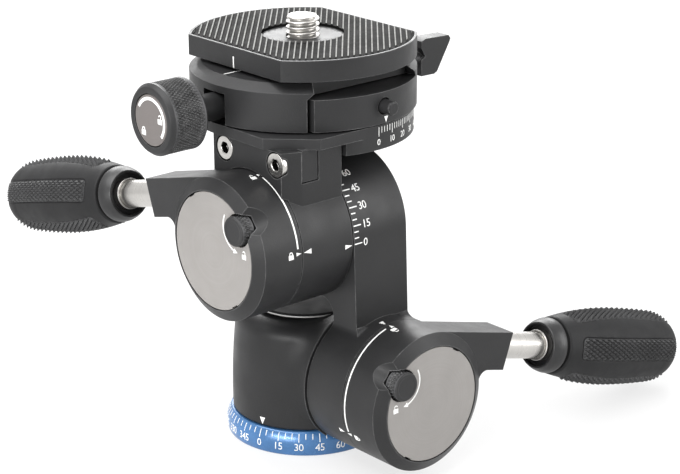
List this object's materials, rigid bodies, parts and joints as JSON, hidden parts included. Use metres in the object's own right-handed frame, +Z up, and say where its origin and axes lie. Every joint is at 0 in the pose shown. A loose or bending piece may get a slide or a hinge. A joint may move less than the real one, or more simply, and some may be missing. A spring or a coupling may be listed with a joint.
{
  "type": "four-way tripod head",
  "caption": "Compact tripod head with a panning base, crossed tilt axes locked by twist handles, and a panning quick-release clamp that holds a flat-sided round camera plate.",
  "frame": {"origin": "centre of the tripod thread at the base's underside", "axes": "+Z up along the pan axis; the lower tilt axis points along -Y and the upper tilt axis along -X"},
  "size_m": [0.1617, 0.1543, 0.1262],
  "materials": {
    "black_body": "satin black anodised",
    "blue_ring": "blue anodised, glossy",
    "grey_disc": "fine satin grey",
    "dark_collar": "satin dark grey",
    "steel": "turned steel",
    "bronze": "plain bearing bronze",
    "grip": "matt moulded",
    "grip_pad": "cross-hatched rubber",
    "plate_rubber": "ribbed rubber"
  },
  "bodies": {
    "base": {"base_ring": "blue_ring", "base_core": "black_body", "thread_insert": "steel", "pan_spindle": "steel", "pan_washer": "bronze", "pan_nut": "steel"},
    "housing": {"pan_housing": "black_body", "pan_cap": "black_body", "lower_axle": "steel"},
    "pan_lock": {"pan_lock_knob": "black_body"},
    "bracket": {"bracket": "black_body", "lower_bush": "bronze", "upper_axle": "steel"},
    "lower_lock": {"lower_drum": "black_body", "lower_disc": "grey_disc", "lower_lock_nut": "bronze", "lower_shaft": "steel", "lower_collar": "dark_collar", "lower_grip": "grip", "lower_pads": "grip_pad"},
    "lower_pull": {"lower_pull": "black_body"},
    "tilt": {"tilt_hub": "black_body", "upper_bush": "bronze", "tilt_table": "black_body", "table_bolt_rear": "steel", "table_bolt_front": "steel", "table_pivot": "steel"},
    "upper_lock": {"upper_drum": "black_body", "upper_disc": "grey_disc", "upper_lock_nut": "bronze", "upper_shaft": "steel", "upper_collar": "dark_collar", "upper_grip": "grip", "upper_pads": "grip_pad"},
    "upper_pull": {"upper_pull": "black_body"},
    "clamp": {"clamp_body": "black_body", "jaw_rod_a": "steel", "jaw_rod_b": "steel"},
    "jaw": {"clamp_jaw": "black_body"},
    "knob": {"clamp_screw": "steel", "clamp_knob": "black_body", "clamp_knob_cap": "grey_disc"},
    "pin": {"safety_pin": "black_body"},
    "lever": {"pan_lever": "black_body"},
    "plate": {"quick_plate": "black_body", "plate_pad": "plate_rubber"},
    "screw": {"camera_screw": "steel"}
  },
  "joints": [
    {"name": "base_pan", "type": "hinge", "parent": "base", "child": "housing", "pos_m": [0, 0, 0.0072], "axis": [0, 0, 1], "continuous": true},
    {"name": "pan_lock", "type": "hinge", "parent": "housing", "child": "pan_lock", "pos_m": [0.03, 0, 0.017], "axis": [1, 0, 0], "range_deg": [0, 270]},
    {"name": "side_tilt", "type": "hinge", "parent": "housing", "child": "bracket", "pos_m": [0, -0.03, 0.0244], "axis": [0, -1, 0], "range_deg": [-30, 90]},
    {"name": "lower_lock", "type": "hinge", "parent": "bracket", "child": "lower_lock", "pos_m": [0, -0.047, 0.0244], "axis": [0, -1, 0], "range_deg": [-25, 8]},
    {"name": "lower_pull", "type": "slide", "parent": "lower_lock", "child": "lower_pull", "axis": [0, -1, 0], "range_m": [0, 0.0025], "stiffness_N_per_m": 300, "springref_m": -0.001},
    {"name": "front_tilt", "type": "hinge", "parent": "bracket", "child": "tilt", "pos_m": [-0.02, -0.013, 0.0691], "axis": [1, 0, 0], "range_deg": [-60, 30]},
    {"name": "upper_lock", "type": "hinge", "parent": "tilt", "child": "upper_lock", "pos_m": [-0.036, -0.013, 0.0691], "axis": [1, 0, 0], "range_deg": [-25, 8]},
    {"name": "upper_pull", "type": "slide", "parent": "upper_lock", "child": "upper_pull", "axis": [-1, 0, 0], "range_m": [0, 0.0025], "stiffness_N_per_m": 300, "springref_m": -0.001},
    {"name": "top_pan", "type": "hinge", "parent": "tilt", "child": "clamp", "pos_m": [0, 0, 0.1009], "axis": [0, 0, 1], "continuous": true},
    {"name": "jaw_slide", "type": "slide", "parent": "clamp", "child": "jaw", "axis": [-1, 0, 0], "range_m": [0, 0.0024]},
    {"name": "clamp_knob", "type": "hinge", "parent": "jaw", "child": "knob", "pos_m": [-0.047, 0, 0.1055], "axis": [-1, 0, 0], "range_deg": [0, 691]},
    {"name": "safety_pin", "type": "slide", "parent": "clamp", "child": "pin", "axis": [0, 1, 0], "range_m": [0, 0.003], "stiffness_N_per_m": 300, "springref_m": -0.001},
    {"name": "pan_lever", "type": "hinge", "parent": "clamp", "child": "lever", "pos_m": [0.045, 0, 0.10585], "axis": [1, 0, 0], "range_deg": [0, 90]},
    {"name": "plate_slide", "type": "slide", "parent": "clamp", "child": "plate", "axis": [0, -1, 0], "range_m": [-0.004, 0.004]},
    {"name": "camera_screw", "type": "hinge", "parent": "plate", "child": "screw", "pos_m": [0, 0, 0.115], "axis": [0, 0, 1], "continuous": true}
  ],
  "couplings": [
    {"joint": "jaw_slide", "follows": "clamp_knob", "m_per_rad": 0.00019894}
  ]
}
